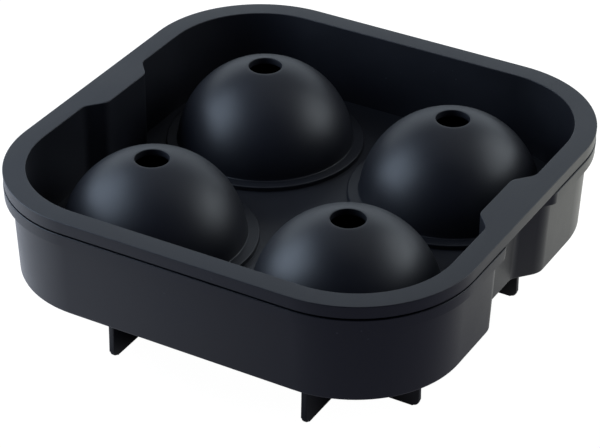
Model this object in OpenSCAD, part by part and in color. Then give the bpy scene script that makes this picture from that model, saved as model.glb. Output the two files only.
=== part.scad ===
// Ice ball mould: a silicone lid with four domes nests in a silicone tray with four cups.
// Each dome closes on its cup and makes one round ice ball, filled through the dome's top.
// Millimetres. The origin is on the table under the middle of the tray, +Z is up,
// and the lid's two grip tabs are on the -X and +X sides.

/* [Ice balls] */
// Diameter of each ice ball
ball_d = 45; // [30:0.5:60]
// Diameter of the fill hole at the top of each dome
fill_d = 9; // [5:0.5:14]

/* [Silicone] */
// Thickness of the domes, the cups and both decks
shell_t = 1.9; // [1.4:0.1:3]
// Thickness of the tray's outer wall at its hem
wall_t = 1.1; // [0.8:0.1:2.5]
// Thickness of the lid's skirt
skirt_t = 1.3; // [1:0.1:2.5]
// Thickness of the lid's skirt behind the grip tabs
tab_skirt_t = 0.9; // [0.7:0.1:2.5]
// Gap between the lid and what it slides past in the tray
slack = 0.4; // [0.3:0.05:1]

/* [Sealing lips] */
// Width of the lip round each cup's mouth
lip_w = 2.6; // [1.5:0.1:5]
// Height of the lip above the tray's deck
lip_h = 1.4; // [0.8:0.1:3]
// Strip of deck between the ring steps of neighbouring domes
deck_web = 2.2; // [1:0.1:8]

/* [Lid rim] */
// Height of the rim's top above the middle of the balls
rim_rise = 23.4; // [16:0.1:40]
// Thickness of the rim
rim_t = 3.5; // [1.5:0.1:5]
// Corner radius of the rim, seen from above
rim_corner = 32.6; // [20:0.1:40]
// Strip of deck between the ring steps and the lid's skirt
well_margin = 3.2; // [1:0.1:8]
// How far the rim and the tray's flange stand out from the tray's wall
rim_over = 2.1; // [0.8:0.1:4]
// Parting gap between the rim and the tray's flange
parting_gap = 0.5; // [0.3:0.1:1.5]

/* [Tray wall] */
// Height of the flange at the top of the tray's wall
flange_t = 3; // [1:0.1:6]
// How far the wall hangs below the tray's deck
hem_h = 2.4; // [0.5:0.1:8]
// How far the wall leans in between its flange and its hem
wall_lean = 1; // [0.4:0.1:2]

/* [Finger recesses and grip tabs] */
// Depth of each finger recess at the wall's hem
recess_in = 4.7; // [3.5:0.1:8]
// Straight length of the back of each recess
recess_l = 16.6; // [10:0.1:24]
// Angle between a recess's sides and the wall
recess_slope = 40; // [30:1:50]
// Radius where the wall turns into a recess
recess_round = 6; // [4:0.5:12]
// Radius of the flange in a recess's inner corners
recess_nip = 1.2; // [0.3:0.1:2]
// Radius of the grip tabs' corners
tab_r = 3.5; // [2:0.1:6]

/* [Feet] */
// Thickness of each fin of a foot
fin_t = 1.6; // [1.2:0.1:4]
// How far a fin's tip lies inside the widest line of its cup
fin_inset = 3; // [2:0.1:8]
// Height of the cups above the table
foot_drop = 0.6; // [0.4:0.1:6]

/* [Hidden] */
$fn = 96;

lid_black = [0.17, 0.175, 0.19];
dome_black = [0.13, 0.135, 0.15];
tray_black = [0.11, 0.115, 0.125];
foot_black = [0.07, 0.07, 0.08];

// Radii about each ball's upright axis
ball_r = ball_d / 2;
cup_r = ball_r + shell_t;
lip_r = ball_r + lip_w;
ring_r = lip_r + slack + shell_t;
fin_reach = cup_r - fin_inset;
pitch = 2 * ring_r + deck_web;

// Levels above the table
equator_z = foot_drop + cup_r;
seat_z = equator_z - lip_h;
tray_deck_z = seat_z - shell_t;
hem_z = tray_deck_z - hem_h;
lid_deck_z = seat_z + shell_t;
rim_top_z = equator_z + rim_rise;
rim_z = rim_top_z - rim_t;
flange_top_z = rim_z - parting_gap;
flange_z = flange_top_z - flange_t;

// Half widths, from the lid's well outwards
well_half = pitch / 2 + ring_r + well_margin;
lid_half = well_half + skirt_t;
bay_half = lid_half + slack;
hem_half = bay_half + wall_t;
wall_half = hem_half + wall_lean;
rim_half = wall_half + rim_over;
corner_at = rim_half - rim_corner;

// The faces behind a recess lie parallel to its back, these distances further in
bay_in = wall_t;
lid_in = wall_t + slack;
tab_in = wall_t + slack + tab_skirt_t;

// The recess's flare ends this far outside the leaning wall
flare_out = rim_over / 7;

function toward(angle) = [cos(angle), sin(angle)];

// What a corner at p, between edges that leave it at angles a and b, loses when it is rounded
// It reaches past the corner, and its circle is a hair over size, so that no edges only touch
module rounding(p, a, b, r) {
    half_angle = (b - a) / 2;
    edge = r / tan(half_angle);
    inward = toward((a + b) / 2);
    middle = p + inward * r / sin(half_angle);
    difference() {
        polygon([p - inward * r / 4, p + toward(a) * edge, middle, p + toward(b) * edge]);
        translate(middle) circle(r * 1.002);
    }
}

// Square with round corners, all about the same four corner axes
module rounded_square(half) {
    square([2 * half, 2 * corner_at], center = true);
    square([2 * corner_at, 2 * half], center = true);
    for (x = [-1, 1], y = [-1, 1])
        translate([x * corner_at, y * corner_at]) circle(half - corner_at);
}

// Recesses with sloping sides, cut into the -X and +X edges of an outline of this half width
// Their backs lie the distance inset behind the backs of the finger recesses
module recesses(half, inset, r_in, r_out) {
    back = hem_half - recess_in - inset;
    back_half = recess_l / 2 + inset * tan(recess_slope / 2);
    mouth_half = back_half + (half - back) / tan(recess_slope);
    beyond = half + recess_in;
    for (side = [0, 1])
        mirror([side, 0]) {
            difference() {
                polygon([
                    [back, -back_half], [half, -mouth_half], [beyond, -mouth_half],
                    [beyond, mouth_half], [half, mouth_half], [back, back_half]
                ]);
                for (end = [0, 1])
                    mirror([0, end]) rounding([back, back_half], -90, 90 - recess_slope, r_in);
            }
            for (end = [0, 1])
                mirror([0, end]) rounding([half, mouth_half], 90, 270 - recess_slope, r_out);
        }
}

// A face of the tray or the lid's skirt, parallel to the finger recess
module parallel_outline(half, inset) {
    difference() {
        rounded_square(half);
        recesses(half, inset, recess_nip + rim_over + inset, recess_round - inset);
    }
}

// The inside of the lid's skirt, with the two grip tabs standing in
module well_outline() {
    difference() {
        rounded_square(well_half);
        recesses(well_half, tab_in, tab_r, tab_r);
    }
}

// Solid block with the leaning sides and round corners of the tray's wall
module leaning_block(height) {
    for (turn = [0, 90])
        rotate(turn) rotate([90, 0, 0]) linear_extrude(2 * corner_at, center = true)
            polygon([[-hem_half, 0], [hem_half, 0], [wall_half, height], [-wall_half, height]]);
    for (x = [-1, 1], y = [-1, 1])
        translate([x * corner_at, y * corner_at, 0])
            cylinder(r1 = hem_half - corner_at, r2 = wall_half - corner_at, h = height);
}

// Upper half of a solid ball
module half_ball(r) {
    rotate_extrude() intersection() {
        circle(r);
        square(r + 1);
    }
}

// Places a piece at one ball: x and y are -1 or 1
module at_ball(x, y, z) {
    translate([x * pitch / 2, y * pitch / 2, z]) children();
}

module every_ball() {
    for (x = [-1, 1], y = [-1, 1]) at_ball(x, y, 0) children();
}

// Flat rim of the lid with its two grip tabs
module lid_rim() {
    color(lid_black) translate([0, 0, rim_z]) linear_extrude(rim_t) difference() {
        rounded_square(rim_half);
        well_outline();
    }
}

// Upright skirt that joins the lid's rim to its deck
module lid_skirt() {
    color(lid_black) translate([0, 0, lid_deck_z]) linear_extrude(rim_z - lid_deck_z)
        difference() {
            parallel_outline(lid_half, lid_in);
            well_outline();
        }
}

// Flat deck of the lid, which lies on the tray's deck
module lid_deck() {
    color(lid_black) translate([0, 0, seat_z]) linear_extrude(shell_t) difference() {
        parallel_outline(lid_half, lid_in);
        every_ball() circle(ring_r);
    }
}

// Half-round dome with its ring step, fill hole and the groove that takes the cup's lip
module lid_dome(x, y) {
    color(dome_black) at_ball(x, y, equator_z) difference() {
        union() {
            half_ball(cup_r);
            translate([0, 0, -lip_h]) cylinder(r = ring_r, h = lip_h + shell_t);
        }
        half_ball(ball_r);
        translate([0, 0, -lip_h]) cylinder(r = lip_r + slack, h = lip_h);
        cylinder(d = fill_d, h = 2 * cup_r);
    }
}

// Outer wall of the tray: the flange under the lid's rim, the leaning wall and its hem
module tray_wall() {
    height = flange_z - hem_z;
    color(tray_black) translate([0, 0, hem_z]) difference() {
        union() {
            difference() {
                leaning_block(height);
                translate([0, 0, -flange_t]) linear_extrude(height + 2 * flange_t)
                    recesses(wall_half + flare_out, 0, recess_nip + rim_over, recess_round);
            }
            translate([0, 0, height]) linear_extrude(flange_t) difference() {
                rounded_square(rim_half);
                recesses(rim_half, -rim_over, recess_nip, recess_round / 2);
            }
        }
        translate([0, 0, -flange_t]) linear_extrude(height + 3 * flange_t)
            parallel_outline(bay_half, bay_in);
    }
}

// Flat deck of the tray, which carries the cups
module tray_deck() {
    color(tray_black) translate([0, 0, tray_deck_z]) linear_extrude(shell_t) difference() {
        parallel_outline(bay_half, bay_in);
        every_ball() circle(lip_r);
    }
}

// Half-round cup with the sealing lip round its mouth
module tray_cup(x, y) {
    color(tray_black) at_ball(x, y, equator_z) difference() {
        union() {
            mirror([0, 0, 1]) half_ball(cup_r);
            translate([0, 0, -lip_h - shell_t]) cylinder(r = lip_r, h = lip_h + shell_t);
        }
        mirror([0, 0, 1]) half_ball(ball_r);
    }
}

// Foot of two crossed upright fins under a cup
module tray_foot(x, y) {
    color(foot_black) at_ball(x, y, 0) difference() {
        for (turn = [0, 90])
            rotate(turn) rotate([90, 0, 0]) linear_extrude(fin_t, center = true)
                translate([-fin_reach, 0]) square([2 * fin_reach, equator_z]);
        translate([0, 0, equator_z]) sphere(cup_r);
    }
}

lid_rim();
lid_skirt();
lid_deck();
lid_dome(-1, -1);  // lid_dome_front_left
lid_dome(1, -1);  // lid_dome_front_right
lid_dome(-1, 1);  // lid_dome_back_left
lid_dome(1, 1);  // lid_dome_back_right
tray_wall();
tray_deck();
tray_cup(-1, -1);  // tray_cup_front_left
tray_cup(1, -1);  // tray_cup_front_right
tray_cup(-1, 1);  // tray_cup_back_left
tray_cup(1, 1);  // tray_cup_back_right
tray_foot(-1, -1);  // tray_foot_front_left
tray_foot(1, -1);  // tray_foot_front_right
tray_foot(-1, 1);  // tray_foot_back_left
tray_foot(1, 1);  // tray_foot_back_right
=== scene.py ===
"""Ice ball mould in black silicone: a lid with four domes on a tray with four cups.

It stands on white paper among soft lights, as in a shop picture.
"""

import math

import bmesh
import bpy
from mathutils import Matrix, Vector


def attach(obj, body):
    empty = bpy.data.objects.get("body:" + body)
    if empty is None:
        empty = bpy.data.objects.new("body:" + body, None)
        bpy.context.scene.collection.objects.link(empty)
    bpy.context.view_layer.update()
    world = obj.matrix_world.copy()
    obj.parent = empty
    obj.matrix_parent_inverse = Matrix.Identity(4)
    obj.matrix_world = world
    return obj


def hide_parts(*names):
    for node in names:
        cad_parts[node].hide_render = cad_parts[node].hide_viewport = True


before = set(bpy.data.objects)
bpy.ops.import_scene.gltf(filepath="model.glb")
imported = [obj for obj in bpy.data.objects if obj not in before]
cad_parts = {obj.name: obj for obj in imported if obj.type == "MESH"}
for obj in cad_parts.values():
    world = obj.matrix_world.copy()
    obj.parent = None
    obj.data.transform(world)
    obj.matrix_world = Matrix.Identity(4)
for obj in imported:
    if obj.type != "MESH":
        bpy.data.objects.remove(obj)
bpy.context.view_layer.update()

# Camera
# It looks down into the mould from the front right, through a long lens.
# Its place and turn were fitted to the rim, the fill holes and the tray's lower edge.
CAMERA_AT = (0.266773, -0.473930, 0.366212)
CAMERA_TURN = math.radians(29.4832)
CAMERA_TILT = math.radians(57.7212)
CAMERA_ROLL = math.radians(0.4437)

lens = bpy.data.cameras.new("camera")
lens.sensor_width = 36.0
lens.lens = 146.1
lens.clip_start = 0.05
lens.clip_end = 20.0
camera = bpy.data.objects.new("camera", lens)
camera.matrix_world = (
    Matrix.Translation(CAMERA_AT)
    @ Matrix.Rotation(CAMERA_TURN, 4, "Z")
    @ Matrix.Rotation(CAMERA_TILT, 4, "X")
    @ Matrix.Rotation(CAMERA_ROLL, 4, "Z")
)
bpy.context.scene.collection.objects.link(camera)
bpy.context.scene.camera = camera

# Lid
# One silicone moulding: a flat rim with two grip tabs, a skirt, a sunken deck and four domes.
# Each dome stands on a ring step, has a fill hole on top, and a groove below for the cup's lip.
# Nothing holds it: its skirt fits inside the tray's wall, and its deck lies on the tray's deck.
MM = 0.001
BALLS = [(-28.5, -28.5), (28.5, -28.5), (-28.5, 28.5), (28.5, 28.5)]
BALL_R = 22.5
SHELL_R = 24.4
EQUATOR_Z = 25.0
CORNER_AT = 32.4
SLOPE = math.radians(40)
HALF_TURN = math.tan(SLOPE / 2)
RIM_HALF = 65.0
RIM_TOP_Z = 48.4
RIM_Z = 44.9
RIM_DRAFT = 0.15
WELL_HALF = 59.1
SKIRT_HALF = 60.4
LID_DECK_Z = 25.5
SEAT_Z = 23.6
RING_R = 27.4
RING_TOP_Z = 26.9
GROOVE_R = 25.5
FILL_R = 4.5
FILL_EDGE = 0.3
FILL_TOP_Z = 48.9
FILL_LOW_Z = 47.2
DOME_FOOT = math.radians(6)
DOME_MOUTH = math.radians(1)
EDGE = 0.2
EDGE_BEND = 0.06
TAB = {"back": 54.8, "back_half": 9.17, "r_in": 3.5, "r_out": 3.5}
SKIRT_RECESS = {"back": 55.7, "back_half": 8.85, "r_in": 4.8, "r_out": 4.5}
CORNER_STEPS = 24
RECESS_STEPS = 8
MOUTH_STEPS = 12
DOME_STEPS = 40
ROUND_STEPS = 96
SHARP_ANGLE = math.radians(55)
LID_DARK = (0.0050, 0.0054, 0.0080, 1.0)
LID_PALE = (0.0072, 0.0078, 0.0112, 1.0)
LID_MATT = 0.41
DUST = (0.12, 0.12, 0.125, 1.0)
SILICONE_IOR = 1.43


def arc(middle, radius, start, end, steps):
    """Points on an arc about a middle point, from one angle to another."""
    points = []
    for i in range(steps + 1):
        angle = start + (end - start) * i / steps
        points.append((middle[0] + radius * math.cos(angle), middle[1] + radius * math.sin(angle)))
    return points


def square_outline(half):
    """A square with round corners, as one loop of points."""
    radius = half - CORNER_AT
    points = []
    for quarter in range(4):
        start = quarter * math.pi / 2
        x = CORNER_AT if quarter in (0, 3) else -CORNER_AT
        y = CORNER_AT if quarter in (0, 1) else -CORNER_AT
        points += arc((x, y), radius, start, start + math.pi / 2, CORNER_STEPS)
    return points


def recessed_outline(half, back, back_half, r_in, r_out, grow):
    """The same square with a sloping recess in its left and right edges, moved outwards by grow."""
    half += grow
    back += grow
    back_half -= grow * HALF_TURN
    r_in -= grow
    r_out += grow
    mouth_half = back_half + (half - back) / math.tan(SLOPE)
    low = back_half - r_in * HALF_TURN
    high = mouth_half + r_out * HALF_TURN
    quarter = arc((back + r_in, low), r_in, math.pi, math.pi - SLOPE, RECESS_STEPS)
    quarter += arc((half - r_out, high), r_out, -SLOPE, 0.0, MOUTH_STEPS)
    quarter += arc((CORNER_AT, CORNER_AT), half - CORNER_AT, 0.0, math.pi / 2, CORNER_STEPS)
    points = list(quarter)
    points += [(-x, y) for x, y in reversed(quarter)]
    points += [(-x, -y) for x, y in quarter]
    points += [(x, -y) for x, y in reversed(quarter)]
    return points


def circle(middle, radius):
    """Points round a circle."""
    last = 2 * math.pi * (ROUND_STEPS - 1) / ROUND_STEPS
    return arc(middle, radius, 0.0, last, ROUND_STEPS - 1)


def ring(mesh, points, z):
    """One loop of vertices at a level, in millimetres."""
    return [mesh.verts.new((x * MM, y * MM, z * MM)) for x, y in points]


def skin(mesh, loops):
    """Faces between neighbouring loops of the same length."""
    for below, above in zip(loops, loops[1:]):
        for i in range(len(below)):
            j = (i + 1) % len(below)
            mesh.faces.new((below[i], below[j], above[j], above[i]))


def floor_between(mesh, loops):
    """A flat face between closed loops at one level: the first is the outline, the others holes."""
    edges = []
    for loop in loops:
        for i in range(len(loop)):
            pair = (loop[i], loop[(i + 1) % len(loop)])
            edges.append(mesh.edges.get(pair) or mesh.edges.new(pair))
    bmesh.ops.triangle_fill(mesh, use_beauty=True, use_dissolve=False, edges=edges)


def turned(mesh, middle, profile):
    """Loops of a turned surface: the profile lists radius and level."""
    return [ring(mesh, circle(middle, radius), z) for radius, z in profile]


def dome_arc(radius, low, high, steps):
    """Profile points on a sphere about a ball's middle, between two angles above its equator."""
    points = []
    for i in range(steps + 1):
        angle = low + (high - low) * i / steps
        points.append((radius * math.cos(angle), EQUATOR_Z + radius * math.sin(angle)))
    return points


def finished(mesh, name):
    """Turns the built faces into a smooth object whose flat faces stay flat."""
    bmesh.ops.recalc_face_normals(mesh, faces=mesh.faces)
    data = bpy.data.meshes.new(name)
    mesh.to_mesh(data)
    mesh.free()
    data.shade_smooth()
    data.set_sharp_from_angle(angle=SHARP_ANGLE)
    piece = bpy.data.objects.new(name, data)
    bpy.context.scene.collection.objects.link(piece)
    normals = piece.modifiers.new("flat_faces", "WEIGHTED_NORMAL")
    normals.keep_sharp = True
    return piece


lid_mesh = bmesh.new()
rim_side = [
    (-RIM_DRAFT - 0.3, RIM_Z),
    (-RIM_DRAFT - 0.09, RIM_Z + 0.05),
    (-RIM_DRAFT, RIM_Z + 0.25),
    (0.0, RIM_TOP_Z - EDGE),
    (-EDGE_BEND, RIM_TOP_Z - EDGE_BEND),
    (-EDGE, RIM_TOP_Z),
]
rim_loops = [ring(lid_mesh, square_outline(RIM_HALF + grow), z) for grow, z in rim_side]
skin(lid_mesh, rim_loops)

well_side = [
    (EDGE, RIM_TOP_Z),
    (EDGE_BEND, RIM_TOP_Z - EDGE_BEND),
    (0.0, RIM_TOP_Z - EDGE),
    (0.0, LID_DECK_Z),
]
well_loops = [
    ring(lid_mesh, recessed_outline(WELL_HALF, grow=grow, **TAB), z) for grow, z in well_side
]
skin(lid_mesh, well_loops)
floor_between(lid_mesh, [rim_loops[-1], well_loops[0]])

skirt_side = [
    (0.0, RIM_Z),
    (0.0, SEAT_Z + 0.5),
    (-0.12, SEAT_Z + 0.15),
    (-0.45, SEAT_Z),
]
skirt_loops = [
    ring(lid_mesh, recessed_outline(SKIRT_HALF, grow=grow, **SKIRT_RECESS), z)
    for grow, z in skirt_side
]
skin(lid_mesh, skirt_loops)
floor_between(lid_mesh, [rim_loops[0], skirt_loops[0]])

hole_out = math.acos((FILL_R + FILL_EDGE) / SHELL_R)
hole_in = math.acos((FILL_R + FILL_EDGE / 2) / BALL_R)
dome_profile = [
    (RING_R + 0.25, LID_DECK_Z),
    (RING_R + 0.05, LID_DECK_Z + 0.07),
    (RING_R, LID_DECK_Z + 0.25),
    (RING_R, RING_TOP_Z - 0.35),
    (RING_R - 0.1, RING_TOP_Z - 0.1),
    (RING_R - 0.35, RING_TOP_Z),
    (SHELL_R + 0.25, RING_TOP_Z),
    (SHELL_R + 0.03, RING_TOP_Z + 0.06),
    (SHELL_R - 0.07, RING_TOP_Z + 0.24),
]
dome_profile += dome_arc(SHELL_R, DOME_FOOT, hole_out, DOME_STEPS)
dome_profile += [
    (FILL_R + 0.08, FILL_TOP_Z),
    (FILL_R, FILL_TOP_Z - 0.15),
    (FILL_R, FILL_LOW_Z),
]
dome_profile += dome_arc(BALL_R, hole_in, DOME_MOUTH, DOME_STEPS)
dome_profile += [(BALL_R, EQUATOR_Z), (GROOVE_R, EQUATOR_Z), (GROOVE_R, SEAT_Z)]
domes = [turned(lid_mesh, ball, dome_profile) for ball in BALLS]
for loops in domes:
    skin(lid_mesh, loops)
floor_between(lid_mesh, [well_loops[-1]] + [loops[0] for loops in domes])
floor_between(lid_mesh, [skirt_loops[-1]] + [loops[-1] for loops in domes])
lid = finished(lid_mesh, "lid")


class Socket:
    """A shader value with arithmetic, so that a formula reads as one."""

    def __init__(self, tree, output=None):
        self.tree = tree
        self.output = output

    def node(self, kind, settings=None, output=0, **inputs):
        """Adds a node and returns one of its outputs; i0, i1 and so on name inputs by number."""
        made = self.tree.nodes.new(kind)
        for key, value in (settings or {}).items():
            setattr(made, key, value)
        for key, value in inputs.items():
            numbered = key[0] == "i" and key[1:].isdigit()
            place = made.inputs[int(key[1:])] if numbered else made.inputs[key]
            if isinstance(value, Socket):
                self.tree.links.new(value.output, place)
            else:
                place.default_value = value
        return Socket(self.tree, made.outputs[output])

    def maths(self, operation, first, second):
        """One Math node on two values."""
        return self.node("ShaderNodeMath", {"operation": operation}, i0=first, i1=second)

    def __add__(self, other):
        return self.maths("ADD", self, other)

    def __sub__(self, other):
        return self.maths("SUBTRACT", self, other)

    def __mul__(self, other):
        return self.maths("MULTIPLY", self, other)

    def __radd__(self, other):
        return self.maths("ADD", other, self)

    def __rsub__(self, other):
        return self.maths("SUBTRACT", other, self)

    def __rmul__(self, other):
        return self.maths("MULTIPLY", other, self)

    def step(self, low, high):
        """0 at low, 1 at high, and smooth between them."""
        smooth = {"interpolation_type": "SMOOTHSTEP"}
        return self.node("ShaderNodeMapRange", smooth, i0=self, i1=low, i2=high, i3=0.0, i4=1.0)

    def between(self, first, second):
        """A colour that goes from the first to the second as this value goes from 0 to 1."""
        colours = {"data_type": "RGBA"}
        return self.node("ShaderNodeMix", colours, output=2, i0=self, i6=first, i7=second)


def silicone(name, dark, pale, roughness, offset):
    """Satin black silicone: cloudy sheen, a fine moulded grain and a few specks of dust."""
    material = bpy.data.materials.new(name)
    material.use_nodes = True
    tree = material.node_tree
    shader = tree.nodes["Principled BSDF"]
    shader.inputs["IOR"].default_value = SILICONE_IOR
    place = Socket(tree).node("ShaderNodeTexCoord", output="Object")
    moved = place.node("ShaderNodeVectorMath", {"operation": "ADD"}, i0=place, i1=offset)
    cloud = moved.node("ShaderNodeTexNoise", Vector=moved, Scale=38.0, Detail=4.0, Roughness=0.55)
    grain = moved.node("ShaderNodeTexNoise", Vector=moved, Scale=2600.0, Detail=2.0, Roughness=0.5)
    dust = moved.node("ShaderNodeTexVoronoi", Vector=moved, Scale=260.0)
    speck = dust.step(0.09, 0.04) * cloud.step(0.52, 0.66)
    colour = cloud.step(0.3, 0.7).between(dark, pale)
    colour = (speck * 0.35).between(colour, DUST)
    matt = cloud.step(0.25, 0.75) * 0.07 + grain * 0.05 + speck * 0.2 + roughness
    bump = grain.node("ShaderNodeBump", Height=grain, Strength=0.06, Distance=0.0002)
    tree.links.new(colour.output, shader.inputs["Base Color"])
    tree.links.new(matt.output, shader.inputs["Roughness"])
    tree.links.new(bump.output, shader.inputs["Normal"])
    return material


lid.data.materials.append(silicone("lid_silicone", LID_DARK, LID_PALE, LID_MATT, (0.0, 0.0, 0.0)))
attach(lid, "lid")
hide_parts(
    "lid_rim", "lid_skirt", "lid_deck",
    "lid_dome_front_left", "lid_dome_front_right", "lid_dome_back_left", "lid_dome_back_right",
)

# Tray
# The other silicone moulding: a leaning wall with a flange and two finger recesses, and a deck.
# Four cups hang in the deck. Each has a sealing lip round its mouth that fits the lid's groove.
# Under each cup stands a foot of two crossed fins, moulded on.
HEM_HALF = 61.9
WALL_LEAN = 1.0
HEM_Z = 19.3
FLANGE_Z = 41.4
FLANGE_TOP_Z = 44.55
FLANGE_DRAFT = 0.13
BAY_HALF = 60.8
TRAY_DECK_Z = 21.7
LIP_R = 25.1
CUP_MOUTH = math.radians(-1)
CUP_FOOT = math.radians(-10)
CUP_BOTTOM = math.radians(-88)
CUP_STEPS = 44
SOFT_EDGE = 0.4
SOFT_BEND = 0.12
HEM_EDGE = 0.34
FIN_REACH = 21.4
FIN_HALF = 0.8
FIN_ROUND = 1.6
FIN_DRAFT = 0.3
FIN_SOFT = 0.5
FIN_TOP_R = 23.5
FIN_STEPS = 24
RECESS_BACK = 56.7
WALL_RECESS = {"back_half": 8.3, "r_in": 3.3, "r_out": 6.0}
FLANGE_RECESS = {"back": 59.3, "back_half": 7.54, "r_in": 1.2, "r_out": 3.0}
BAY_RECESS = {"back": 56.1, "back_half": 8.7, "r_in": 4.4, "r_out": 4.9}
TRAY_DARK = (0.0046, 0.0050, 0.0074, 1.0)
TRAY_PALE = (0.0066, 0.0072, 0.0104, 1.0)
TRAY_MATT = 0.37


def wall_outline(z, grow):
    """The leaning wall's outline at a level: the backs of its recesses lean as the wall does."""
    lean = WALL_LEAN * (z - HEM_Z) / (FLANGE_Z - HEM_Z)
    return recessed_outline(HEM_HALF + lean, RECESS_BACK + lean, grow=grow, **WALL_RECESS)


tray_mesh = bmesh.new()
wall_side = [
    (-HEM_EDGE, HEM_Z),
    (-SOFT_BEND, HEM_Z + SOFT_BEND),
    (0.0, HEM_Z + 0.45),
    (0.0, FLANGE_Z),
]
outer_loops = [ring(tray_mesh, wall_outline(z, grow), z) for grow, z in wall_side]
flange_side = [
    (-FLANGE_DRAFT, FLANGE_Z),
    (0.0, FLANGE_TOP_Z - EDGE),
    (-EDGE_BEND, FLANGE_TOP_Z - EDGE_BEND),
    (-EDGE, FLANGE_TOP_Z),
]
outer_loops += [
    ring(tray_mesh, recessed_outline(RIM_HALF, grow=grow, **FLANGE_RECESS), z)
    for grow, z in flange_side
]
bay_side = [
    (SOFT_EDGE, FLANGE_TOP_Z),
    (SOFT_BEND, FLANGE_TOP_Z - SOFT_BEND),
    (0.0, FLANGE_TOP_Z - SOFT_EDGE),
    (0.0, SEAT_Z),
]
bay_loops = [
    ring(tray_mesh, recessed_outline(BAY_HALF, grow=grow, **BAY_RECESS), z) for grow, z in bay_side
]
skin(tray_mesh, outer_loops + bay_loops)
hem_side = [(0.0, TRAY_DECK_Z), (0.0, HEM_Z + 0.3), (0.14, HEM_Z)]
hem_loops = [
    ring(tray_mesh, recessed_outline(BAY_HALF, grow=grow, **BAY_RECESS), z) for grow, z in hem_side
]
skin(tray_mesh, hem_loops + [outer_loops[0]])

lip_profile = [
    (LIP_R, SEAT_Z),
    (LIP_R, EQUATOR_Z - 0.3),
    (LIP_R - 0.1, EQUATOR_Z - 0.08),
    (LIP_R - 0.3, EQUATOR_Z),
    (BALL_R + 0.3, EQUATOR_Z),
    (BALL_R + 0.08, EQUATOR_Z - 0.1),
]
lip_profile += dome_arc(BALL_R, CUP_MOUTH, CUP_BOTTOM, CUP_STEPS)
cup_profile = [(SHELL_R + 0.2, TRAY_DECK_Z), (SHELL_R - 0.1, TRAY_DECK_Z - 0.3)]
cup_profile += dome_arc(SHELL_R, CUP_FOOT, CUP_BOTTOM, DOME_STEPS)
mouths = [turned(tray_mesh, ball, lip_profile) for ball in BALLS]
bowls = [turned(tray_mesh, ball, cup_profile) for ball in BALLS]
for loops in mouths + bowls:
    skin(tray_mesh, loops)
    tray_mesh.faces.new(loops[-1])
floor_between(tray_mesh, [bay_loops[-1]] + [loops[0] for loops in mouths])
floor_between(tray_mesh, [hem_loops[0]] + [loops[0] for loops in bowls])


def fin(mesh, middle, along):
    """One upright fin below a cup: it ends inside the cup's wall and narrows to round corners."""
    crest = math.asin((FIN_REACH + FIN_DRAFT) / FIN_TOP_R)
    corner = (FIN_REACH - FIN_ROUND, FIN_ROUND)
    half = arc(corner, FIN_ROUND, -math.pi / 2, 0.0, RECESS_STEPS)
    for i in range(FIN_STEPS + 1):
        angle = crest * (1 - i / FIN_STEPS)
        half.append((FIN_TOP_R * math.sin(angle), EQUATOR_Z - FIN_TOP_R * math.cos(angle)))
    outline = half + [(-u, z) for u, z in reversed(half[:-1])]
    sides = []
    for across in (-FIN_HALF, FIN_HALF):
        points = []
        for u, z in outline:
            x, y = (u, across) if along == "x" else (across, u)
            points.append(mesh.verts.new(((middle[0] + x) * MM, (middle[1] + y) * MM, z * MM)))
        sides.append(points)
    skin(mesh, sides)
    flats = [mesh.faces.new(points) for points in sides]
    edges = [edge for flat in flats for edge in flat.edges]
    bmesh.ops.bevel(
        mesh, geom=edges, offset=FIN_SOFT * MM, segments=4, profile=0.5, affect="EDGES"
    )


for ball in BALLS:
    fin(tray_mesh, ball, "x")
    fin(tray_mesh, ball, "y")
tray = finished(tray_mesh, "tray")
tray.data.materials.append(
    silicone("tray_silicone", TRAY_DARK, TRAY_PALE, TRAY_MATT, (0.3, 0.1, 0.2))
)
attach(tray, "tray")
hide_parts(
    "tray_wall", "tray_deck",
    "tray_cup_front_left", "tray_cup_front_right", "tray_cup_back_left", "tray_cup_back_right",
    "tray_foot_front_left", "tray_foot_front_right", "tray_foot_back_left", "tray_foot_back_right",
)

# Paper
# A flat white sheet under the mould. Its glow is painted light: a painted pool of light towards the
# back left, painted shade that is dim and bluish in front, and a painted shadow right under the
# mould.
# The camera sees it almost pure white, with the mould's shadow faint on it.
FLOOR_HALF = 3.0
PAPER = (0.25, 0.25, 0.25, 1.0)
PAINTED_SHADOW = (0.0, 0.0, 0.0, 1.0)
PAINTED_SHADE_BLUE = (0.155, 0.152, 0.225, 1.0)
PAINTED_GLOW_COOL = (0.92, 0.96, 1.06, 1.0)
PAINTED_GLOW_WARM = (1.22, 1.22, 1.10, 1.0)
PURE_WHITE = (1.0, 1.0, 1.0, 1.0)
WHITE_SHARE = 0.9
WHITE_GLOW = 1.1

paper_mesh = bpy.data.meshes.new("paper")
signs = [(-1, -1), (1, -1), (1, 1), (-1, 1)]
corners = [(x * FLOOR_HALF, y * FLOOR_HALF, 0.0) for x, y in signs]
paper_mesh.from_pydata(corners, [], [(0, 1, 2, 3)])
paper = bpy.data.objects.new("paper", paper_mesh)
bpy.context.scene.collection.objects.link(paper)
paper_look = bpy.data.materials.new("paper")
paper_look.use_nodes = True
paper_tree = paper_look.node_tree
paper_shader = paper_tree.nodes["Principled BSDF"]
paper_shader.inputs["Base Color"].default_value = PAPER
paper_shader.inputs["Roughness"].default_value = 0.9
paper_shader.inputs["Specular IOR Level"].default_value = 0.0
paper_shader.inputs["Emission Strength"].default_value = 1.0
on_paper = Socket(paper_tree).node("ShaderNodeTexCoord", output="Object")
right = on_paper.node("ShaderNodeSeparateXYZ", output="X", i0=on_paper)
back = on_paper.node("ShaderNodeSeparateXYZ", output="Y", i0=on_paper)
reach = on_paper.node("ShaderNodeVectorMath", {"operation": "LENGTH"}, output="Value", i0=on_paper)
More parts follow.
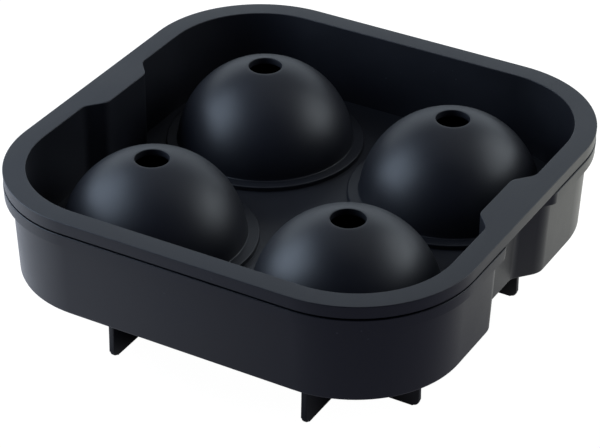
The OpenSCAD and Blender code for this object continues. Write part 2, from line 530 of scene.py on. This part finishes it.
# Painted light: the paper's emission is a painted glow, bright towards the back left and warmer to
# the right, painted shade that is dim and bluish towards the front right, and a painted shadow
# close under the mould.
painted_glow_tint = right.step(-0.05, 0.10).between(PAINTED_GLOW_COOL, PAINTED_GLOW_WARM)
painted_glow = (back - right).step(-0.14, 0.04).between(PAINTED_SHADE_BLUE, painted_glow_tint)
painted_paper_light = reach.step(0.045, 0.08).between(PAINTED_SHADOW, painted_glow)
paper_tree.links.new(painted_paper_light.output, paper_shader.inputs["Emission Color"])
lit_paper = Socket(paper_tree, paper_shader.outputs["BSDF"])
white_paper = on_paper.node("ShaderNodeEmission", Color=PURE_WHITE, Strength=WHITE_GLOW)
seen = on_paper.node("ShaderNodeLightPath", output="Is Camera Ray")
mixed = seen.node("ShaderNodeMixShader", i0=WHITE_SHARE * seen, i1=lit_paper, i2=white_paper)
paper_tree.links.new(mixed.output, paper_tree.nodes["Material Output"].inputs["Surface"])
paper_mesh.materials.append(paper_look)

# Lights
# A small soft box close by on either side, a weak ceiling, and a wide panel at the back left.
# The world is a dim blue, and pure white where the camera sees it.
MIDDLE = (0.0, 0.0, 0.045)
DIM_BLUE = (0.052, 0.060, 0.104, 1.0)
BLUISH = (0.67, 0.81, 1.0)
COOL = (0.86, 0.94, 1.0)
CEILING_WHITE = (0.90, 0.96, 1.0)
PANEL_WHITE = (0.82, 0.92, 0.99)


def soft_light(name, at, target, width, height, power, colour):
    """A rectangular soft light that faces a point."""
    lamp = bpy.data.lights.new(name, "AREA")
    lamp.shape = "RECTANGLE"
    lamp.size = width
    lamp.size_y = height
    lamp.energy = power
    lamp.color = colour
    holder = bpy.data.objects.new(name, lamp)
    holder.location = at
    holder.rotation_euler = (Vector(target) - Vector(at)).to_track_quat("-Z", "Y").to_euler()
    bpy.context.scene.collection.objects.link(holder)


soft_light("left_light", (-0.186, -0.087, 0.152), MIDDLE, 0.20, 0.20, 0.69, BLUISH)
soft_light("right_light", (0.186, 0.171, 0.178), MIDDLE, 0.21, 0.16, 0.43, COOL)
soft_light("ceiling", (0.0, 0.17, 0.50), (0.0, 0.10, 0.0), 0.50, 0.44, 0.30, CEILING_WHITE)
soft_light("back_panel", (-0.46, 0.72, 0.36), (-0.06, 0.0, 0.36), 1.8, 0.56, 4.2, PANEL_WHITE)

world = bpy.data.worlds.new("world")
world.use_nodes = True
world_tree = world.node_tree
world_seen = Socket(world_tree).node("ShaderNodeLightPath", output="Is Camera Ray")
world_light = world_seen.between(DIM_BLUE, PURE_WHITE)
world_tree.links.new(world_light.output, world_tree.nodes["Background"].inputs["Color"])
bpy.context.scene.world = world
bpy.context.scene.view_settings.view_transform = "Standard"
